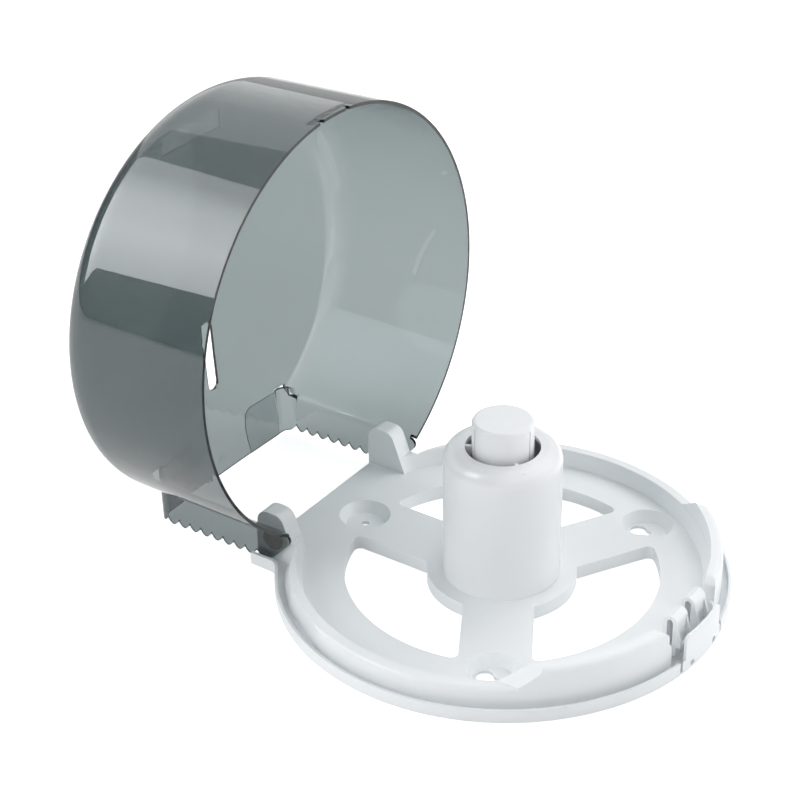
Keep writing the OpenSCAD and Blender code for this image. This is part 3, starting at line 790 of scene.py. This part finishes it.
def build_lamps():
    """Every lamp. The key adds no light to matt surfaces: soft_key does that from the same place."""
    lamps = {name: softbox(name, *rest) for name, *rest in SOFTBOXES}
    lamps["key"].visible_diffuse = False
    uneven(lamps["key"].data, KEY_STRIPS)


def build_floor():
    corners = ((-1, -1), (1, -1), (1, 1), (-1, 1))
    points = [(FLOOR_REACH * x, FLOOR_REACH * y, FLOOR_Z) for x, y in corners]
    floor = mesh_object("floor", points, [(0, 1, 2, 3)])
    floor.data.materials.append(floor_material("white_floor"))


def build_world():
    """White to the eye and through the clear plastic.

    Reflections show it dark at the horizon and lighter above, with the pale backdrop on one side.
    """
    world = bpy.data.worlds.new("studio")
    bpy.context.scene.world = world
    world.use_nodes = True
    tree = world.node_tree
    nodes, links = tree.nodes, tree.links
    background = nodes["Background"]
    background.inputs["Color"].default_value = (1, 1, 1, 1)
    path, where = nodes.new("ShaderNodeLightPath"), nodes.new("ShaderNodeTexCoord")
    parts, rise = nodes.new("ShaderNodeSeparateXYZ"), nodes.new("ShaderNodeMapRange")
    rise.inputs["To Min"].default_value = HORIZON_IN_REFLECTIONS
    rise.inputs["To Max"].default_value = CEILING_IN_REFLECTIONS
    links.new(where.outputs["Generated"], parts.inputs["Vector"])
    links.new(parts.outputs["Z"], rise.inputs["Value"])
    facing, backdrop = nodes.new("ShaderNodeVectorMath"), nodes.new("ShaderNodeMapRange")
    facing.operation = "DOT_PRODUCT"
    facing.inputs[1].default_value = BACKDROP_TOWARD
    backdrop.inputs["From Min"].default_value = BACKDROP_EDGE
    backdrop.inputs["To Max"].default_value = BACKDROP_IN_REFLECTIONS
    links.new(where.outputs["Generated"], facing.inputs[0])
    links.new(facing.outputs["Value"], backdrop.inputs["Value"])
    room = combined(tree, "MAXIMUM", backdrop.outputs["Result"], rise.outputs["Result"])
    reflected = combined(tree, "MULTIPLY", path.outputs["Is Glossy Ray"], room)
    lighting = combined(tree, "MAXIMUM", reflected, WORLD_LIGHT)
    seen = combined(tree, "MAXIMUM", path.outputs["Is Camera Ray"], path.outputs["Is Transmission Ray"])
    links.new(combined(tree, "MAXIMUM", seen, lighting), background.inputs["Strength"])


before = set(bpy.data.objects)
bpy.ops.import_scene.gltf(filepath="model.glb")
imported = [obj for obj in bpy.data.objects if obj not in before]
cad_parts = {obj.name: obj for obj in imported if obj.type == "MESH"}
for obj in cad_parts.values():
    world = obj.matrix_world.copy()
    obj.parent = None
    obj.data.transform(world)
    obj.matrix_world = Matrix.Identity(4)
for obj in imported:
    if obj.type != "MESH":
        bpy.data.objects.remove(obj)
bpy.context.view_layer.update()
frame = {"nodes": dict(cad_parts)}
scene = bpy.context.scene
scene.view_settings.view_transform = "Standard"
build_camera()

surface = moulded_surface_group()
white = plastic("white_plastic", surface, colour=(0.80, 0.825, 0.84), cloud_colour=(0.78, 0.81, 0.83),
                roughness=(0.32, 0.42))
gloss_white = plastic("gloss_white_plastic", surface, colour=(0.79, 0.805, 0.82),
                      cloud_colour=(0.775, 0.795, 0.81), roughness=(0.16, 0.24))
dark = plastic("dark_plastic", surface, colour=(0.03, 0.028, 0.03), cloud_colour=(0.036, 0.034, 0.036),
               roughness=(0.4, 0.5))
steel = plastic("zinc_steel", surface, colour=(0.6, 0.61, 0.62), cloud_colour=(0.5, 0.51, 0.52),
                roughness=(0.25, 0.45))
steel.node_tree.nodes["Principled BSDF"].inputs["Metallic"].default_value = 1.0
smoke = smoke_clear("smoke_clear_plastic", surface)
# Painted shade: a near-black material for the clear cover's cut edges, which look dark where light runs along
# the wall
painted_edge_shade = plastic("cut_edge_painted_shade", surface, colour=(0.012, 0.014, 0.014),
                     cloud_colour=(0.01, 0.012, 0.012), roughness=(0.4, 0.5))

build_cover(smoke, painted_edge_shade)
plate = eased_copy(frame, ["back_plate", "plate_spider"], "plate_moulding", PLATE_EASE)
finish_piece(plate, "plate", white, "white_plastic", "back_plate", "plate_spider")
for side in ("left", "right"):
    catch = eased_copy(frame, ["latch_catch_" + side], "spring_catch_" + side, CATCH_EASE)
    finish_piece(catch, "catch_" + side, white, "white_plastic", "latch_catch_" + side)
post = eased_copy(frame, ["spindle_post"], "roll_post", POST_EASE)
for angle in POST_GROOVE_ANGLES:
    boolean(post, post_groove(angle), "DIFFERENCE")
finish_piece(post, "plate", gloss_white, "white_plastic_post", "spindle_post")
sleeve = eased_copy(frame, ["core_adapter"], "core_sleeve", SLEEVE_EASE)
finish_piece(sleeve, "adapter", gloss_white, "white_plastic_post", "core_adapter")
pins = eased_copy(frame, ["hinge_pins"], "pin_pair", PIN_EASE)
set_into_tongues(pins)
finish_piece(pins, "cover", dark, "dark_plastic", "hinge_pins")
screws = eased_copy(frame, ["post_screws"], "foot_screws", SCREW_EASE)
finish_piece(screws, "plate", steel, "screw_steel", "post_screws")

build_world()
build_floor()
build_lamps()
